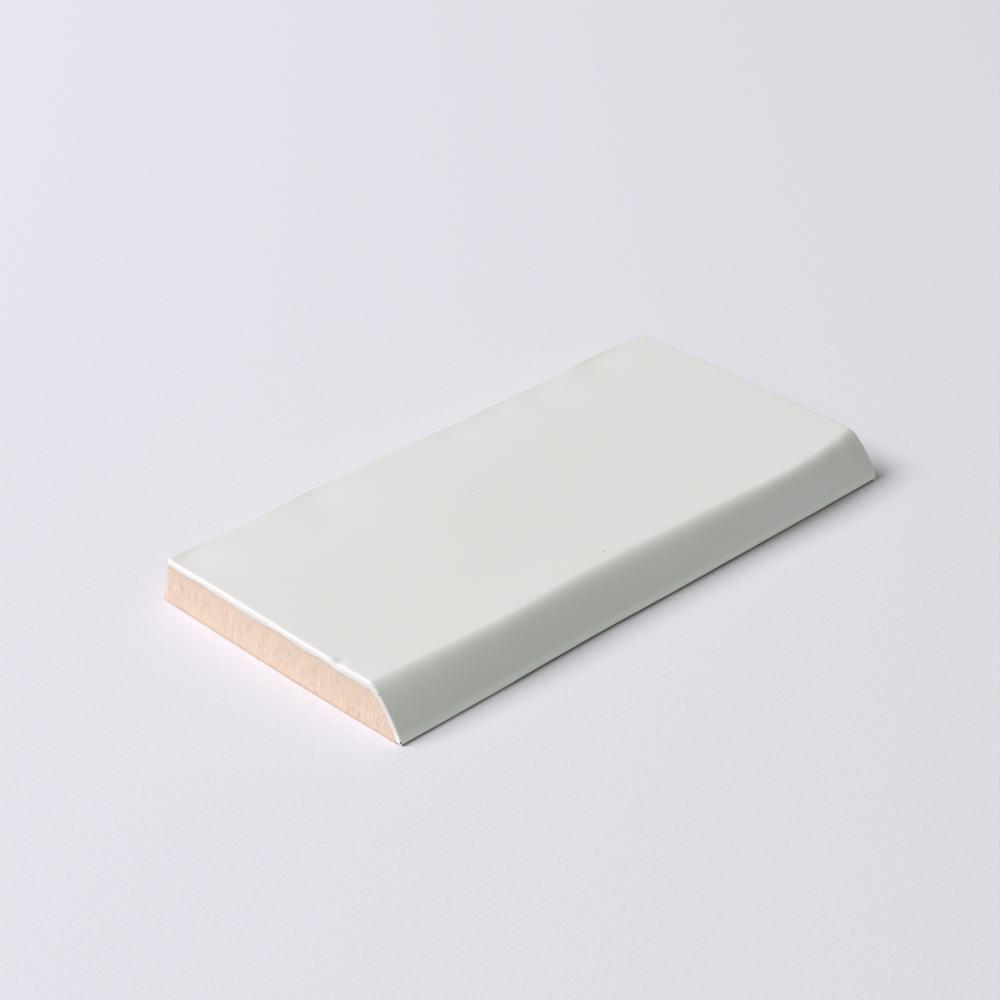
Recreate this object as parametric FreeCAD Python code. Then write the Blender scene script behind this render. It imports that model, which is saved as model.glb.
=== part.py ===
import FreeCAD, Part
import math
import os

# Bullnose wall tile: a dry-pressed clay body, glazed over its face and its rounded long edge, and fired as
# one piece. Millimetres. X along the tile, Y across it with the rounded edge at -Y, Z up from its flat back.

# Overall size
tile_length = 152.0
tile_width = 76.2
tile_thickness = 10.6

# Rounded long edge: the face falls over a shoulder to a lip just above the back, and the bare foot tucks in
# below. Its reach is how far in from the lip the face starts to fall. Shoulder and belly are how full the
# curve is at its two ends: 0 is a flat slope and 0.55 a quarter round. Right of the middle it is pinched.
nose_reach_left = 10.0
nose_reach_middle = 8.8
nose_reach_pinch = 6.7
nose_reach_right = 9.1
nose_shoulder_left = 0.33
nose_shoulder_middle = 0.41
nose_shoulder_pinch = 0.55
nose_shoulder_right = 0.37
nose_pinch_x = 45.0
nose_belly = 0.15
nose_lip_height = 1.2
nose_foot_tuck = 0.38

# Square edges: the die leaves them a little wider at the back, and the glaze rolls over at the top. Over the
# ends the roll tightens down the rounded edge to a crisp arris.
edge_draft = 0.35
back_roll = 1.0
end_roll = 0.7
nose_end_roll = 0.3

# Unevenness of the face and of the outline: a height, a length from crest to crest, and where a crest stands
face_wave = 0.18
face_wave_length = 96.0
face_wave_width = 84.0
face_crest_x = 76.0
face_crest_y = 19.0
front_hollow = 0.55
front_hollow_length = 200.0
front_hollow_x = 18.0
back_wave = 0.4
back_wave_length = 85.0
back_crest_x = -22.0
back_ripple = 0.22
back_ripple_length = 31.0
back_ripple_crest_x = -36.0
end_wave = 0.3
end_wave_length = 105.0
end_crest_y = -12.7

# Mortar keys: blind round-ended grooves along the back, in pairs each side of a middle rib, in a plain border
key_width = 5.0
key_depth = 0.6
key_rib = 4.0
key_border = 9.0

# Sections or outline points from one crest to the next
points_per_wave = 6

half_length = tile_length / 2
half_width = tile_width / 2
allowance = tile_thickness / 2
nose_places = (-half_length, 0, nose_pinch_x, half_length)
nose_reaches = (nose_reach_left, nose_reach_middle, nose_reach_pinch, nose_reach_right)
nose_shoulders = (nose_shoulder_left, nose_shoulder_middle, nose_shoulder_pinch, nose_shoulder_right)


def along_nose(x, values):
    pairs = list(zip(nose_places, values))
    for (near, near_value), (far, far_value) in zip(pairs, pairs[1:]):
        if x < far:
            share = max(0, (x - near) / (far - near))
            return near_value + (far_value - near_value) * (1 - math.cos(math.pi * share)) / 2
    return values[-1]


def wave(position, length, crest):
    return math.cos(2 * math.pi * (position - crest) / length)


def spread(low, high, spacing):
    steps = max(2, math.ceil((high - low) / spacing))
    return [low + (high - low) * i / steps for i in range(steps + 1)]


def face_height(x, y):
    along = wave(x, face_wave_length, face_crest_x)
    across = wave(y, face_wave_width, face_crest_y)
    return tile_thickness + face_wave * (along + across) / 2


def back_edge(x):
    slow = wave(x, back_wave_length, back_crest_x)
    quick = wave(x, back_ripple_length, back_ripple_crest_x)
    return half_width + back_wave * (slow - 1) / 2 + back_ripple * quick


def front_edge(x):
    return -half_width + front_hollow * (1 + wave(x, front_hollow_length, front_hollow_x)) / 2


def end_edge(y, z):
    bulge = end_wave * (wave(y, end_wave_length, end_crest_y) - 1)
    return half_length + bulge - edge_draft * z / tile_thickness


def line(start, finish):
    return Part.LineSegment(start, finish).toShape()


def bezier(*poles):
    curve = Part.BezierCurve()
    curve.setPoles(list(poles))
    return curve.toShape()


def spline(points, **tangents):
    curve = Part.BSplineCurve()
    curve.interpolate(Points=points, **tangents)
    return curve.toShape()


def section(x):
    def at(y, z):
        return FreeCAD.Vector(x, y, z)

    front = front_edge(x)
    back = back_edge(x)
    reach = along_nose(x, nose_reaches)
    shoulder = front + reach
    roll_start = back - edge_draft - back_roll
    shoulder_top = face_height(x, shoulder)
    back_top = face_height(x, roll_start)

    # Rounded edge, from the shoulder down to the lip and under it to the foot
    fullness = along_nose(x, nose_shoulders)
    nose_head = at(shoulder, shoulder_top)
    nose_pull = at(shoulder - fullness * reach, shoulder_top)
    lip = at(front, nose_lip_height)
    lip_pull = at(front, nose_lip_height + nose_belly * (shoulder_top - nose_lip_height))
    foot = at(front + nose_foot_tuck, 0)
    foot_pull = at(front, nose_lip_height / 3)

    # Square back edge, leaning in from the heel to the glaze roll
    lean = edge_draft / (back_top - back_roll)
    roll_head = at(roll_start, back_top)
    roll_foot = at(back - edge_draft, back_top - back_roll)
    roll_corner = at(back - lean * back_top, back_top)
    below_heel = at(back + lean * allowance, -allowance)
    below_foot = at(front + nose_foot_tuck, -allowance)

    crest_ys = spread(roll_start, shoulder, face_wave_width / points_per_wave)
    crest = [at(y, face_height(x, y)) for y in crest_ys]
    level = FreeCAD.Vector(0, -1, 0)
    return Part.Wire([
        line(below_foot, below_heel),
        line(below_heel, roll_foot),
        bezier(roll_foot, roll_corner, roll_head),
        spline(crest, InitialTangent=level, FinalTangent=level),
        bezier(nose_head, nose_pull, lip_pull, lip),
        bezier(lip, foot_pull, foot),
        line(foot, below_foot),
    ])


def end_waste(side):
    def outline(z):
        ys = spread(-tile_width, tile_width, end_wave_length / points_per_wave)
        points = [FreeCAD.Vector(side * end_edge(y, z), y, z) for y in ys]
        outside = side * (half_length + 2 * allowance)
        first = FreeCAD.Vector(outside, ys[0], z)
        last = FreeCAD.Vector(outside, ys[-1], z)
        return Part.Wire([
            spline(points),
            line(points[-1], last),
            line(last, first),
            line(first, points[0]),
        ])

    top = tile_thickness + allowance
    return Part.makeLoft([outline(-2 * allowance), outline(top)], True, True)


def is_end_edge(edge):
    points = [v.Point for v in edge.Vertexes]
    crosses_tile = abs(points[0].x - points[-1].x) < half_length
    lies_on_back = max(p.z for p in points) < nose_lip_height / 2
    return crosses_tile and not lies_on_back


def roll_at(point):
    on_nose = point.y < 0 and point.z < tile_thickness / 2
    return nose_end_roll if on_nose else end_roll


def key_groove(y):
    run = half_length - key_border - key_width / 2
    groove = Part.makeBox(2 * run, key_width, key_depth, FreeCAD.Vector(-run, y - key_width / 2, 0))
    for x in (-run, run):
        groove = groove.fuse(Part.makeCylinder(key_width / 2, key_depth, FreeCAD.Vector(x, y, 0)))
    return groove.removeSplitter()


# The pressed blank, a little long and deep
blank_end = half_length + allowance
stations = spread(-blank_end, blank_end, back_ripple_length / points_per_wave)
blank = Part.makeLoft([section(x) for x in stations], True, False)

# Ends trimmed to their bowed outlines, and the back trimmed flat
corner = FreeCAD.Vector(-tile_length, -tile_width, -2 * allowance)
below = Part.makeBox(2 * tile_length, 2 * tile_width, 2 * allowance, corner)
body = blank.cut([end_waste(-1), end_waste(1), below])

# The glaze rolls over both ends, from the foot of the rounded edge round to the back corner
drawing = FreeCAD.newDocument("bullnose_tile")
trimmed = drawing.addObject("Part::Feature", "trimmed")
trimmed.Shape = body
rolled = drawing.addObject("Part::Fillet", "rolled")
rolled.Base = trimmed
rolled.Edges = [
    (number, roll_at(edge.firstVertex().Point), roll_at(edge.lastVertex().Point))
    for number, edge in enumerate(body.Edges, 1) if is_end_edge(edge)
]
drawing.recompute()
body = rolled.Shape

# Keys in the back
key_pitch = key_width + key_rib
pairs = int((half_width - key_border + key_rib / 2) // key_pitch)
offsets = [key_pitch * (i + 0.5) for i in range(pairs)]
body = body.cut([key_groove(side * offset) for offset in offsets for side in (-1, 1)])

tile = body.Solids[0]
os.makedirs("parts", exist_ok=True)
tile.exportStep("parts/bullnose_tile.step")
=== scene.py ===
import math

import bmesh
import bpy
from mathutils import Matrix, Vector, noise


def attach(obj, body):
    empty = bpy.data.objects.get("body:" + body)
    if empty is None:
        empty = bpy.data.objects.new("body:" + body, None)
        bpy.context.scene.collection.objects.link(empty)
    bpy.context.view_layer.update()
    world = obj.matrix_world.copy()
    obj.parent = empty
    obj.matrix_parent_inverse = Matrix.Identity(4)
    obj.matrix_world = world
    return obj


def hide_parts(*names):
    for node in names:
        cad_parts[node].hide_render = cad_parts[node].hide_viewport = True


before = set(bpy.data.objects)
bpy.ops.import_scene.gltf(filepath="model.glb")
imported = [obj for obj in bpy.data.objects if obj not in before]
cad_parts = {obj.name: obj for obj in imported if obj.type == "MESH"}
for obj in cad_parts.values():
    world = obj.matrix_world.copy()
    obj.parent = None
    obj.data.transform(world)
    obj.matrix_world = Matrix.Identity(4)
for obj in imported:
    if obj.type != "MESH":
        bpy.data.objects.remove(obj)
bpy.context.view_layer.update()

# The tile is one slab of pale earthenware, dry pressed in a steel die that leaves its face and its outline a
# little wavy. White glaze is poured over the face and the rounded long edge before the firing. It rolls over
# the ends and the back edge, stops there in a thick wavy lip, and leaves the clay below it bare.
mm = 0.001
tile_length = 152.0
tile_width = 76.2
tile_thickness = 10.6
half_length = tile_length / 2
half_width = tile_width / 2

# The rounded edge falls from the shoulder of the face to a lip just above the back. Its reach and the
# fullness of its shoulder change along the tile, and are given at places along it.
nose_reach = (
    (-76, 10.3), (-66, 9.9), (-58, 9.4), (-48, 8.8), (-38, 8.3), (-20, 8.5), (-10, 8.7), (0, 8.75),
    (12, 8.3), (22, 8.0), (32, 7.45), (44, 6.7), (52, 6.55), (60, 6.9), (68, 7.7), (76, 9.0),
)
nose_shoulder = (
    (-76, 0.34), (-66, 0.40), (-52, 0.43), (-40, 0.47), (-20, 0.48), (0, 0.50),
    (20, 0.55), (44, 0.62), (58, 0.61), (68, 0.53), (76, 0.41),
)
nose_lip_height = 0.65
nose_belly = 0.06

# The bare strip under the lip, row by row from the foot up: how far it is tucked in, and a share of its
# height. Its layer, as those below, picks a slice of the noise, so that no two kinds of unevenness are alike.
bare_strip = ((0.06, 0), (0.0558, 0.6), (0.048, 0.9), (0.02, 1))
bare_strip_height = ((-76, 0.3), (-66, 0.24), (-50, 0.28), (-36, 0.38), (76, 0.4))
bare_strip_ripple = 0.08
bare_strip_ripple_length = 9.0
bare_strip_layer = 7

# The square edges, wider at the back, with the glaze rolled over them at the top
edge_draft = 0.35
back_roll = 0.7
end_roll = 0.8

# The long waves of the face and of the outline: a height, a length and where a crest stands. The front line
# and the right end have a bow of their own, given at places along them, and the left end leans in.
face_wave = 0.18
face_wave_length = 96.0
face_wave_width = 84.0
face_crest_x = 76.0
face_crest_y = 19.0
back_wave = 0.4
back_wave_length = 85.0
back_crest_x = -22.0
back_ripple = 0.22
back_ripple_length = 31.0
back_ripple_crest_x = -36.0
end_wave = 0.3
end_wave_length = 105.0
end_crest_y = -12.7
front_hollow = (
    (-60, 0.01), (-45, 0.05), (-30, 0.22), (-15, 0.34), (0, 0.17),
    (15, 0.09), (55, 0.07), (66, 0.2), (76, 0.27),
)
right_end_bow = ((-38, 0), (-27, -0.1), (-12, -0.45), (5, 0), (22, 0.4), (33, 0.35), (38, 0.3))
left_end_lean = 0.45


def wave(position, length, crest):
    return math.cos(2 * math.pi * (position - crest) / length)


def at_stations(stations, position):
    for (near, near_size), (far, far_size) in zip(stations, stations[1:]):
        if position <= far:
            t = min(1, max(0, (position - near) / (far - near)))
            return near_size + (far_size - near_size) * t * t * (3 - 2 * t)
    return stations[-1][1]


def face_height(x, y):
    along = wave(x, face_wave_length, face_crest_x)
    across = wave(y, face_wave_width, face_crest_y)
    return tile_thickness + face_wave * (along + across) / 2


def back_edge(x):
    slow = wave(x, back_wave_length, back_crest_x)
    quick = wave(x, back_ripple_length, back_ripple_crest_x)
    return half_width + back_wave * (slow - 1) / 2 + back_ripple * quick


def front_edge(x):
    return -half_width + at_stations(front_hollow, x)


def end_edge(y, z, side):
    bulge = end_wave * (wave(y, end_wave_length, end_crest_y) - 1)
    own = at_stations(right_end_bow, y) if side > 0 else -left_end_lean
    return half_length + bulge + (own - edge_draft) * z / tile_thickness


# Shallow hollows that the glaze left along the back edge, each with a place and a depth
back_hollows = ((-71, 0.34), (-35, 0.28), (8, 0.18), (21, 0.20), (35, 0.24), (56, 0.36), (64, 0.16))
back_hollow_spread = 4.0
back_hollow_in = 3.5


def back_hollow(x, y):
    away = max(0, back_edge(x) - edge_draft - back_roll - y) / back_hollow_in
    depth = sum(deep * math.exp(-((x - place) / back_hollow_spread) ** 2 / 2) for place, deep in back_hollows)
    return depth * away * math.exp(1 - away)


# The glazed skin is a sheet of small squares: rows from the foot, up the nose and over the face to the back
columns = 220
bare_rows = len(bare_strip) - 1
lip_rows = 3
nose_rows = 34
face_rows = 150
foot_rows = bare_rows + lip_rows
rows = foot_rows + nose_rows + face_rows


def across_the_tile(x, row):
    """Depth and height of the skin at a station along the tile, a row up from the foot of the nose."""
    front = front_edge(x)
    reach = at_stations(nose_reach, x)
    shoulder = front + reach
    shoulder_top = face_height(x, shoulder)
    lip = Vector((front, nose_lip_height))
    ripple = noise.noise(Vector((x / bare_strip_ripple_length, 0, bare_strip_layer)))
    under = at_stations(bare_strip_height, x) + bare_strip_ripple * ripple
    if row <= bare_rows:
        tuck, share = bare_strip[round(row)]
        return Vector((front + tuck, share * under))
    if row <= foot_rows:
        glaze_foot = Vector((front + bare_strip[-1][0], under))
        pull = Vector((front, (under + nose_lip_height) / 2))
        t = (row - bare_rows) / lip_rows
        return glaze_foot * (1 - t) ** 2 + pull * 2 * t * (1 - t) + lip * t ** 2
    if row <= foot_rows + nose_rows:
        lip_pull = Vector((front, nose_lip_height + nose_belly * (shoulder_top - nose_lip_height)))
        head = Vector((shoulder, shoulder_top))
        head_pull = Vector((shoulder - at_stations(nose_shoulder, x) * reach, shoulder_top))
        t = (row - foot_rows) / nose_rows
        low_side = lip * (1 - t) ** 3 + lip_pull * 3 * t * (1 - t) ** 2
        return low_side + head_pull * 3 * t ** 2 * (1 - t) + head * t ** 3
    t = (row - foot_rows - nose_rows) / face_rows
    y = shoulder + (back_edge(x) - edge_draft - back_roll - shoulder) * t
    return Vector((y, face_height(x, y) - back_hollow(x, y)))


# The roll over an end is full along the face and tightens down the nose to a crisp arris. At the right end it
# is thin along the face, and the shoulder and the foot are rounded off more.
nose_end_roll = 0.3
far_end_roll = 0.4
far_corner_roll = 0.75
far_corner_rows = 9
far_foot_roll = 0.9
far_foot_rows = 5


def roll_over_end(row, side):
    t = min(1, max(0, (row - foot_rows) / nose_rows))
    if side < 0:
        return nose_end_roll + (end_roll - nose_end_roll) * t ** 3
    beyond = max(0, row - foot_rows - nose_rows)
    shoulder_roll = far_corner_roll * t ** 2 * math.exp(-beyond / far_corner_rows)
    foot_roll = far_foot_roll * math.exp(-max(0, row - foot_rows) / far_foot_rows)
    return nose_end_roll + (far_end_roll - nose_end_roll) * t ** 3 + shoulder_roll + foot_roll


# Small marks of the firing and the handling: the face lies slightly uneven, and the left rim has a dent
hand_wave = 0.015
hand_wave_size = 13.0
hand_wave_sink = 0.045
rim_dent = 0.4
rim_dent_size = 0.85
rim_dent_place = Vector((-74.4, -18.2))


def skin_point(column, row):
    x = tile_length * (column / columns - 0.5)
    y, z = across_the_tile(x, row)
    x = x / half_length * (end_edge(y, z, x) - roll_over_end(row, x))
    y, z = across_the_tile(x, row)
    uneven = hand_wave * noise.noise(Vector((x, y, 0)) / hand_wave_size) - hand_wave_sink
    dent = rim_dent * math.exp(-(Vector((x, y)) - rim_dent_place).length_squared / (2 * rim_dent_size ** 2))
    return Vector((x, y, z + (uneven - dent) * min(1, z / tile_thickness) ** 2))


bpy.ops.object.select_all(action="DESELECT")
bpy.ops.mesh.primitive_grid_add(x_subdivisions=columns, y_subdivisions=rows, size=1)
tile = bpy.context.active_object
tile.name = "glazed_bullnose_tile"
bpy.ops.object.mode_set(mode="EDIT")
bpy.ops.mesh.select_mode(type="EDGE")
bpy.ops.mesh.select_all(action="DESELECT")

# How far the glaze runs down below the roll, at places across the left end and then over the other edges, and
# how the rim strays in and out
lip_step = 0.2
lip_turn = 0.07
lip_bead = 0.05
left_end_runs = (
    (-38, 0.95), (-35, 0.85), (-33, 0.6), (-31, 0.55), (-28, 1.0), (-25, 0.85), (-22.5, 0.95), (-20, 0.85),
    (-17, 0.5), (-13.5, 0.45), (-11, 0.75), (-8.5, 0.95), (-5.5, 0.6), (-1, 0.3), (1.5, 0.4), (4.5, 0.8),
    (8, 1.0), (12, 0.9), (15, 0.65), (19.5, 0.75), (22, 0.6), (24.5, 0.35), (29, 0.5), (34, 0.4), (38, 0.3),
)
other_run = 0.6
other_run_change = 0.35
other_run_length = 11.0
other_run_layer = 5
rim_wobble = 0.1
rim_wobble_length = 8.0
rim_layer = 9
back_wobble = 0.34
back_wobble_length = 4.5
back_layer = 2
back_sink = 0.306
corner_share = 0.85
heel_flare = 0.33
heel_flare_length = 8.0
row_nudge = 0.2


def glaze_run(x, y, at_left_end):
    if at_left_end:
        return at_stations(left_end_runs, y)
    return other_run + other_run_change * noise.noise(Vector((x, y, other_run_layer)) / other_run_length)


def rim_stray(point, at_back):
    if at_back:
        stray = noise.noise(Vector((point.x / back_wobble_length, back_layer, rim_layer)))
        return back_wobble * stray - back_sink
    return rim_wobble * noise.noise(Vector((point.x, point.y, rim_layer)) / rim_wobble_length)


sheet = bmesh.from_edit_mesh(tile.data)
place_on_rim = sheet.verts.layers.int.new("place_on_rim")
step_down = sheet.verts.layers.int.new("step_down")
row_of_skin = sheet.verts.layers.int.new("row_of_skin")
rim = []
for v in sheet.verts:
    column = round((v.co.x + 0.5) * columns)
    row = round((v.co.y + 0.5) * rows)
    v[row_of_skin] = row
    v[place_on_rim] = -1
    point = skin_point(column, row)
    v.co = point * mm
    side = -1 if column == 0 else 1 if column == columns else 0
    at_back = row == rows
    if not side and not at_back:
        continue
    tangent = across_the_tile(point.x, row + row_nudge) - across_the_tile(point.x, max(0, row - row_nudge))
    normal = Vector((0, -tangent.y, tangent.x)).normalized() if side and not at_back else Vector((0, 0, 1))
    if row <= foot_rows:
        normal = Vector((0, -1, 0))
    outward = Vector((side, 1 if at_back else 0, 0))
    if side and at_back:
        outward *= corner_share
    taper = min(1, point.z / nose_lip_height)
    v[place_on_rim] = len(rim)
    rim.append({
        "base": point,
        "outward": outward,
        "normal": normal,
        "roll": back_roll if at_back and not side else roll_over_end(row, side),
        "run": glaze_run(point.x, point.y, side < 0) * taper,
        "taper": taper,
        "tuck": point.y - front_edge(point.x) if row < foot_rows else 0,
        "stray": rim_stray(point, at_back),
        "heel": heel_flare * math.exp(-(point.x + half_length) / heel_flare_length) if at_back else 0,
    })
for edge in sheet.edges:
    a, b = edge.verts
    edge.select_set(edge.is_boundary and a[place_on_rim] >= 0 and b[place_on_rim] >= 0)
bmesh.update_edit_mesh(tile.data)

# Below the lip the die has dragged fine upright marks down the bare clay, which flares to a worn lower arris
drag_depth = 0.09
drag_width = 1.1
drag_height = 7.0
drag_layer = 2
drag_fade = 0.5
fine_drag_share = 0.6
fine_drag_narrower = 2.1
fine_drag_shorter = 1.6
fine_drag_layer = 4
flare = 1.65
worn_arris = 0.3
worn_arris_length = 2.5
worn_arris_layer = 3


def drag_mark(point):
    along = (point.x + point.y) / drag_width
    down = point.z / drag_height
    coarse = noise.noise(Vector((along, down, drag_layer)))
    fine = noise.noise(Vector((fine_drag_narrower * along, fine_drag_shorter * down, fine_drag_layer)))
    return drag_depth * max(0, coarse + fine_drag_share * fine)


def rim_point(place, kind, share):
    """A point on the way from the face over the glaze roll and its lip, and down the clay to the back."""
    base, outward, roll, run, taper = (place[k] for k in ("base", "outward", "roll", "run", "taper"))
    depth_in_all = roll + run + lip_turn
    if kind == "roll":
        angle = share * math.pi / 2
        reach = roll * math.sin(angle) + place["stray"] * share
        depth = roll * (1 - math.cos(angle))
    elif kind == "glaze":
        reach = roll + lip_bead * taper * math.sin(math.pi * share) + place["stray"]
        depth = roll + run * share
    else:
        reach = roll - lip_step * taper
        depth = depth_in_all
    point = base + outward * reach - place["normal"] * depth * (1 - place["tuck"] / depth_in_all)
    if kind == "clay":
        point.z *= 1 - share
        lean = edge_draft + (left_end_lean if outward.x < 0 else 0)
        spread = (lean * base.z / tile_thickness + lip_step * taper) * share ** flare
        if share < 1:
            mark = drag_mark(point) * math.sin(math.pi * share) ** drag_fade
        else:
            wear = noise.noise(Vector((base.x, base.y, worn_arris_layer)) / worn_arris_length)
            mark = worn_arris * (1 + wear)
        point += outward * (spread - mark * taper) + Vector((0, place["heel"] * share ** flare, 0))
    return point


roll_count = 5
glaze_count = 4
clay_count = 13
arris_starts = 0.97
weld_distance = 0.002
roll_steps = [("roll", (i + 1) / roll_count) for i in range(roll_count)]
glaze_steps = [("glaze", (i + 1) / glaze_count) for i in range(glaze_count)]
clay_steps = [("clay", arris_starts * i / clay_count) for i in range(clay_count + 1)] + [("clay", 1)]
for step, (kind, share) in enumerate(roll_steps + glaze_steps + clay_steps):
    bpy.ops.mesh.extrude_region_move()
    sheet = bmesh.from_edit_mesh(tile.data)
    place_on_rim = sheet.verts.layers.int["place_on_rim"]
    step_down = sheet.verts.layers.int["step_down"]
    for v in sheet.verts:
        if v.select:
            v.co = rim_point(rim[v[place_on_rim]], kind, share) * mm
            v[step_down] = step + 1
    bmesh.update_edit_mesh(tile.data)

# The back is closed flat, and the bare faces are told from the glazed ones
glaze_slot = 0
clay_slot = 1
first_bare_step = len(roll_steps) + len(glaze_steps) + 1
corners_of_a_square = 4
bpy.ops.mesh.select_all(action="SELECT")
bpy.ops.mesh.remove_doubles(threshold=weld_distance * mm)
bpy.ops.mesh.select_all(action="DESELECT")
bpy.ops.mesh.select_non_manifold(use_wire=False, use_multi_face=False, use_non_contiguous=False,
                                 use_verts=False)
bpy.ops.mesh.edge_face_add()
sheet = bmesh.from_edit_mesh(tile.data)
step_down = sheet.verts.layers.int["step_down"]
row_of_skin = sheet.verts.layers.int["row_of_skin"]
for face in sheet.faces:
    deepest = max(v[step_down] for v in face.verts)
    highest_row = max(v[row_of_skin] for v in face.verts)
    is_back = len(face.verts) > corners_of_a_square
    under_the_lip = deepest == 0 and highest_row <= bare_rows
    face.material_index = clay_slot if deepest > first_bare_step or is_back or under_the_lip else glaze_slot
bmesh.update_edit_mesh(tile.data)
bpy.ops.mesh.select_all(action="SELECT")
bpy.ops.mesh.normals_make_consistent(inside=False)
bpy.ops.object.mode_set(mode="OBJECT")


# Tin glaze fired to a satin gloss: an even, opaque, faintly grey white that lies in very shallow ripples and
# has a few pinholes where gas came out of the clay. Towards the bottom of the lip it is painted lighter, as
# painted light.
def linear(colour):
    channels = [int(colour[i:i + 2], 16) / 255 for i in (0, 2, 4)]
    return [c / 12.92 if c <= 0.04045 else ((c + 0.055) / 1.055) ** 2.4 for c in channels] + [1]


def add_node(material, kind, settings, links):
    node = material.node_tree.nodes.new(kind)
    for name, value in settings.items():
        if isinstance(name, int) or name in node.inputs:
            node.inputs[name].default_value = value
        else:
            setattr(node, name, value)
    for name, source in links.items():
        material.node_tree.links.new(source, node.inputs[name])
    return node


# Sockets of a node that mixes two colours, which share their names and so go by number
factor = 0
colour_a = 6
colour_b = 7
mixed = 2

glaze = bpy.data.materials.new("tin_glaze_poured_and_fired")
glaze.use_nodes = True
shader = glaze.node_tree.nodes["Principled BSDF"]
shader.inputs["IOR"].default_value = 1.5
glaze_cloud_size = 38.0
glaze_ripple_size = 5.0
glaze_ripple_height = 0.006
gloss_least = 0.5
gloss_most = 0.56
lip_light_top = 2.6
lip_light_full = 1.3

# Pinholes, and last a painted shade in the dent of the rim: a middle, the radius of the edge and of the core,
# and a strength
pinholes_and_dent_shade = (
    ((-75.75, -38.03, 0.8), 0.34, 0.27, 1.0),
    ((-75.1, -31.16, 8.87), 0.33, 0.26, 0.6),
    ((-9.4, 9.8, 10.6), 0.24, 0.19, 0.35),
    ((-5.3, -26.9, 10.5), 0.26, 0.21, 0.5),
    # Painted shade: a soft grey darkening of the face by the dent of the rim
    ((-73.9, -18.0, 10.5), 1.9, 0.1, 0.13),
)
place = add_node(glaze, "ShaderNodeTexCoord", {}, {})
cloud = add_node(glaze, "ShaderNodeTexNoise", {"Scale": 1 / (glaze_cloud_size * mm), "Detail": 3},
                 {"Vector": place.outputs["Object"]})
tone = add_node(glaze, "ShaderNodeMix",
                {"data_type": "RGBA", colour_a: linear("E7E7E5"), colour_b: linear("EBEBEA")},
                {factor: cloud.outputs["Fac"]})
height = add_node(glaze, "ShaderNodeSeparateXYZ", {}, {"Vector": place.outputs["Object"]})
# Painted light: the glaze is mixed to a lighter white towards the bottom of the nose's lip, where more light
# falls
painted_lip_light = add_node(glaze, "ShaderNodeMapRange",
                  {"interpolation_type": "SMOOTHSTEP", "From Min": lip_light_top * mm, "From Max": lip_light_full * mm},
                  {"Value": height.outputs["Z"]})
glaze_colour_pits_and_painted_light = add_node(glaze, "ShaderNodeMix", {"data_type": "RGBA", colour_b: linear("F7F9F5")},
                   {factor: painted_lip_light.outputs["Result"], colour_a: tone.outputs[mixed]})
for middle, edge_radius, core_radius, strength in pinholes_and_dent_shade:
    away = add_node(glaze, "ShaderNodeVectorMath", {"operation": "DISTANCE", 1: Vector(middle) * mm},
                    {0: place.outputs["Object"]})
    dark = add_node(glaze, "ShaderNodeMapRange",
                    {"From Min": edge_radius * mm, "From Max": core_radius * mm, "To Max": strength},
                    {"Value": away.outputs["Value"]})
    glaze_colour_pits_and_painted_light = add_node(glaze, "ShaderNodeMix", {"data_type": "RGBA", colour_b: linear("2A241E")},
                       {factor: dark.outputs["Result"], colour_a: glaze_colour_pits_and_painted_light.outputs[mixed]})
gloss = add_node(glaze, "ShaderNodeMapRange", {"To Min": gloss_least, "To Max": gloss_most},
                 {"Value": cloud.outputs["Fac"]})
ripple = add_node(glaze, "ShaderNodeTexNoise", {"Scale": 1 / (glaze_ripple_size * mm), "Detail": 2},
                  {"Vector": place.outputs["Object"]})
bump = add_node(glaze, "ShaderNodeBump", {"Strength": 1, "Distance": glaze_ripple_height * mm},
                {"Height": ripple.outputs["Fac"]})
glaze.node_tree.links.new(glaze_colour_pits_and_painted_light.outputs[mixed], shader.inputs["Base Color"])
glaze.node_tree.links.new(gloss.outputs["Result"], shader.inputs["Roughness"])
glaze.node_tree.links.new(bump.outputs["Normal"], shader.inputs["Normal"])

# Bare earthenware, dry pressed and fired once: matt, peach to pale pink, chalky, with fine upright marks
# where the die wall dragged it. A warmer orange tone along the lower edge, and dark brown where it meets the
# floor and over the bare strip under the nose's lip, are painted shade.
# Its grain is drawn coarser than a real pressed body's so that it shows.
clay = bpy.data.materials.new("bare_pressed_earthenware")
clay.use_nodes = True
shader = clay.node_tree.nodes["Principled BSDF"]
shader.inputs["IOR"].default_value = 1.45
shader.inputs["Specular IOR Level"].default_value = 0.2
shader.inputs["Roughness"].default_value = 0.9
mottle_size = 6.0
grain_size = 0.3
grain_height = 0.02
mark_height = 0.05
mark_top = 9.0
mark_full = 5.0
edge_tint_band = 1.0
edge_tint_strength = 0.6
contact_shade_band = 0.2
contact_shade_full = 0.1
contact_shade_strength = 0.75
foot_band = 1.5
foot_full = 0.75
foot_strength = 0.95

# Dark drag marks and then pale flakes: a width, a length, the noise at which one starts, a colour, a strength
clay_marks = ((0.65, 4.5, 0.53, "CDB08A", 0.55), (0.75, 3.2, 0.54, "F6E2D6", 0.9))
mark_solid = 0.75
place = add_node(clay, "ShaderNodeTexCoord", {}, {})
spot = add_node(clay, "ShaderNodeSeparateXYZ", {}, {"Vector": place.outputs["Object"]})
mottle = add_node(clay, "ShaderNodeTexNoise", {"Scale": 1 / (mottle_size * mm), "Detail": 3},
                  {"Vector": place.outputs["Object"]})
coat = add_node(clay, "ShaderNodeMix",
                {"data_type": "RGBA", colour_a: linear("E7D1BA"), colour_b: linear("EBD6C6")},
                {factor: mottle.outputs["Fac"]})
low = add_node(clay, "ShaderNodeMapRange",
               {"interpolation_type": "SMOOTHSTEP", "From Min": mark_top * mm, "From Max": mark_full * mm},
               {"Value": spot.outputs["Z"]})
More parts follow.
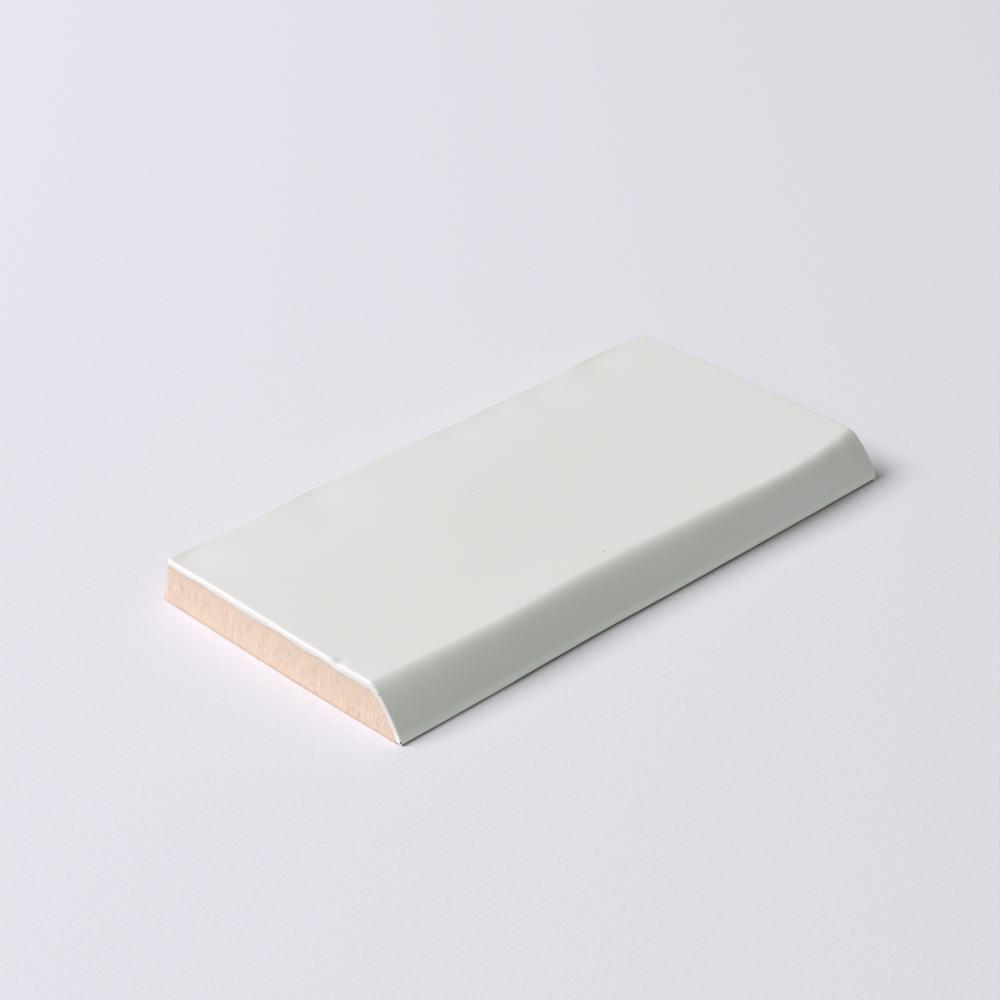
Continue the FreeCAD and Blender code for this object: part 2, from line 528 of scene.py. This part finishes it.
for width, length, start, tint, strength in clay_marks:
    upright = (1 / (width * mm), 1 / (width * mm), 1 / (length * mm))
    stretched = add_node(clay, "ShaderNodeMapping", {"Location": (length, 0, 0), "Scale": upright},
                         {"Vector": place.outputs["Object"]})
    marks = add_node(clay, "ShaderNodeTexNoise", {"Scale": 1, "Detail": 2, "Distortion": 0.4},
                     {"Vector": stretched.outputs["Vector"]})
    mark = add_node(clay, "ShaderNodeMapRange",
                    {"From Min": start, "From Max": mark_solid, "To Max": strength},
                    {"Value": marks.outputs["Fac"]})
    low_mark = add_node(clay, "ShaderNodeMath", {"operation": "MULTIPLY"},
                        {0: mark.outputs["Result"], 1: low.outputs["Result"]})
    coat = add_node(clay, "ShaderNodeMix", {"data_type": "RGBA", colour_b: linear(tint)},
                    {factor: low_mark.outputs["Value"], colour_a: coat.outputs[mixed]})
# Painted shade: a warmer, more orange tone along the lowest millimetre of the clay, for the tinted shade at
# its worn arris
painted_edge_tint = add_node(clay, "ShaderNodeMapRange",
                {"From Min": edge_tint_band * mm, "From Max": 0, "To Max": edge_tint_strength},
                {"Value": spot.outputs["Z"]})
coat = add_node(clay, "ShaderNodeMix", {"data_type": "RGBA", colour_b: linear("EFC795")},
                {factor: painted_edge_tint.outputs["Result"], colour_a: coat.outputs[mixed]})
# Painted shade: dark brown along the lowest fifth of a millimetre of the clay, where it meets the floor
contact_shade = add_node(clay, "ShaderNodeMapRange",
                {"From Min": contact_shade_band * mm, "From Max": contact_shade_full * mm, "To Max": contact_shade_strength},
                {"Value": spot.outputs["Z"]})
# Painted shade: dark brown over the bare strip under the lip of the nose, where shade falls beneath the glaze
foot = add_node(clay, "ShaderNodeMapRange",
                {"From Min": (foot_band - half_width) * mm, "From Max": (foot_full - half_width) * mm,
                 "To Max": foot_strength},
                {"Value": spot.outputs["Y"]})
# Painted shade: the two masks above darken the clay to dark brown
painted_foot_shade = add_node(clay, "ShaderNodeMath", {"operation": "MAXIMUM"},
                 {0: contact_shade.outputs["Result"], 1: foot.outputs["Result"]})
coat = add_node(clay, "ShaderNodeMix", {"data_type": "RGBA", colour_b: linear("563818")},
                {factor: painted_foot_shade.outputs["Value"], colour_a: coat.outputs[mixed]})
grain = add_node(clay, "ShaderNodeTexNoise", {"Scale": 1 / (grain_size * mm), "Detail": 2},
                 {"Vector": place.outputs["Object"]})
mark_bump = add_node(clay, "ShaderNodeBump", {"Strength": 1, "Distance": mark_height * mm},
                     {"Height": low_mark.outputs["Value"]})
grain_bump = add_node(clay, "ShaderNodeBump", {"Strength": 1, "Distance": grain_height * mm},
                      {"Height": grain.outputs["Fac"], "Normal": mark_bump.outputs["Normal"]})
clay.node_tree.links.new(coat.outputs[mixed], shader.inputs["Base Color"])
clay.node_tree.links.new(grain_bump.outputs["Normal"], shader.inputs["Normal"])

# Round-ended keys for the mortar, pressed side by side along the back of the tile with ribs between them.
# One is modelled, repeated across the back and cut from the tile, which is then finished.
key_width = 5.0
key_depth = 0.6
key_rib = 4.0
key_border = 9.0
key_count = 6
key_end_sides = 6
key_end_share = 0.49
key_pitch = key_width + key_rib
key_run = tile_length - 2 * key_border
smooth_angle = 42
bpy.ops.mesh.primitive_cube_add(size=1, location=(0, -key_pitch * (key_count - 1) / 2 * mm, 0),
                                scale=(key_run * mm, key_width * mm, 2 * key_depth * mm))
keys = bpy.context.active_object
bpy.ops.object.transform_apply(location=True, rotation=True, scale=True)
bpy.ops.object.mode_set(mode="EDIT")
bpy.ops.mesh.select_all(action="DESELECT")
block = bmesh.from_edit_mesh(keys.data)
for edge in block.edges:
    a, b = edge.verts
    edge.select_set(abs(a.co.z - b.co.z) > key_depth * mm)
bmesh.update_edit_mesh(keys.data)
bpy.ops.mesh.bevel(offset=key_end_share * key_width * mm, segments=key_end_sides, affect="EDGES")
bpy.ops.object.mode_set(mode="OBJECT")
row_of_keys = keys.modifiers.new("row_of_keys", "ARRAY")
row_of_keys.count = key_count
row_of_keys.use_relative_offset = False
row_of_keys.use_constant_offset = True
row_of_keys.constant_offset_displace = (0, key_pitch * mm, 0)
bpy.ops.object.modifier_apply(modifier="row_of_keys")
for material in (glaze, clay):
    tile.data.materials.append(material)
    keys.data.materials.append(material)
keys.data.polygons.foreach_set("material_index", [clay_slot] * len(keys.data.polygons))
bpy.ops.object.select_all(action="DESELECT")
tile.select_set(True)
bpy.context.view_layer.objects.active = tile
pressed_keys = tile.modifiers.new("pressed_keys", "BOOLEAN")
pressed_keys.operation = "DIFFERENCE"
pressed_keys.solver = "EXACT"
pressed_keys.object = keys
bpy.ops.object.modifier_apply(modifier="pressed_keys")
bpy.data.objects.remove(keys)
bpy.ops.object.shade_smooth_by_angle(angle=math.radians(smooth_angle))
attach(tile, "root")
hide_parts("bullnose_tile")

# The floor is a broad sheet of smooth pale lavender-white board that lies flat under the tile. It is matt,
# with a faint paper tooth, drawn coarser than a real board's so that it shows.
floor_size = 12.0
tooth_size = 0.8
bpy.ops.object.select_all(action="DESELECT")
bpy.ops.mesh.primitive_plane_add(size=floor_size)
floor = bpy.context.active_object
floor.name = "pale_floor"
board = bpy.data.materials.new("matt_white_board")
board.use_nodes = True
shader = board.node_tree.nodes["Principled BSDF"]
shader.inputs["Roughness"].default_value = 0.85
shader.inputs["Specular IOR Level"].default_value = 0.2
place = add_node(board, "ShaderNodeTexCoord", {}, {})
tooth = add_node(board, "ShaderNodeTexNoise", {"Scale": 1 / (tooth_size * mm), "Detail": 3},
                 {"Vector": place.outputs["Object"]})
paper = add_node(board, "ShaderNodeMix",
                 {"data_type": "RGBA", colour_a: linear("E2E1EA"), colour_b: linear("EEEDF6")},
                 {factor: tooth.outputs["Fac"]})
board.node_tree.links.new(paper.outputs[mixed], shader.inputs["Base Color"])
floor.data.materials.append(board)


# The studio light is one long soft box up to the left and behind, its length along the tile, a broad low
# panel in front that lifts the shade, and a weak even fill from all round
def soft_lamp(name, towards, distance, length, breadth, power, colour):
    facing = Vector(towards).normalized()
    bpy.ops.object.light_add(type="AREA", location=facing * distance)
    lamp = bpy.context.active_object
    lamp.name = name
    lamp.data.shape = "RECTANGLE"
    lamp.data.size = length
    lamp.data.size_y = breadth
    lamp.data.energy = power
    lamp.data.color = linear(colour)[:3]
    along = Vector((1, 0, 0))
    along = (along - facing * along.dot(facing)).normalized()
    lamp.rotation_euler = Matrix((along, facing.cross(along), facing)).transposed().to_euler()


soft_lamp("soft_box", towards=(-0.46, 0.573, 0.688), distance=3.5, length=2.6, breadth=1.75, power=142.5,
          colour="FFFBFD")
soft_lamp("front_panel", towards=(0.25, -0.93, 0.26), distance=2.5, length=4.0, breadth=4.0, power=18.0,
          colour="F5FFE6")
studio = bpy.data.worlds.new("even_fill")
studio.use_nodes = True
fill = studio.node_tree.nodes["Background"]
fill.inputs["Color"].default_value = linear("F1F7F1")
fill.inputs["Strength"].default_value = 0.20
bpy.context.scene.world = studio

# The camera stands in front of the left end and looks down along the tile at the photograph's angle
camera_place = Vector((-381.719, -376.732, 328.334))
view_yaw = 44.59
view_pitch = 30.71
view_lens = 100.58
view_sensor = 36
bpy.ops.object.camera_add(location=camera_place * mm,
                          rotation=(math.radians(90 - view_pitch), 0, math.radians(-view_yaw)))
camera = bpy.context.active_object
camera.data.sensor_width = view_sensor
camera.data.lens = view_lens
bpy.context.scene.camera = camera
bpy.context.scene.view_settings.view_transform = "Standard"
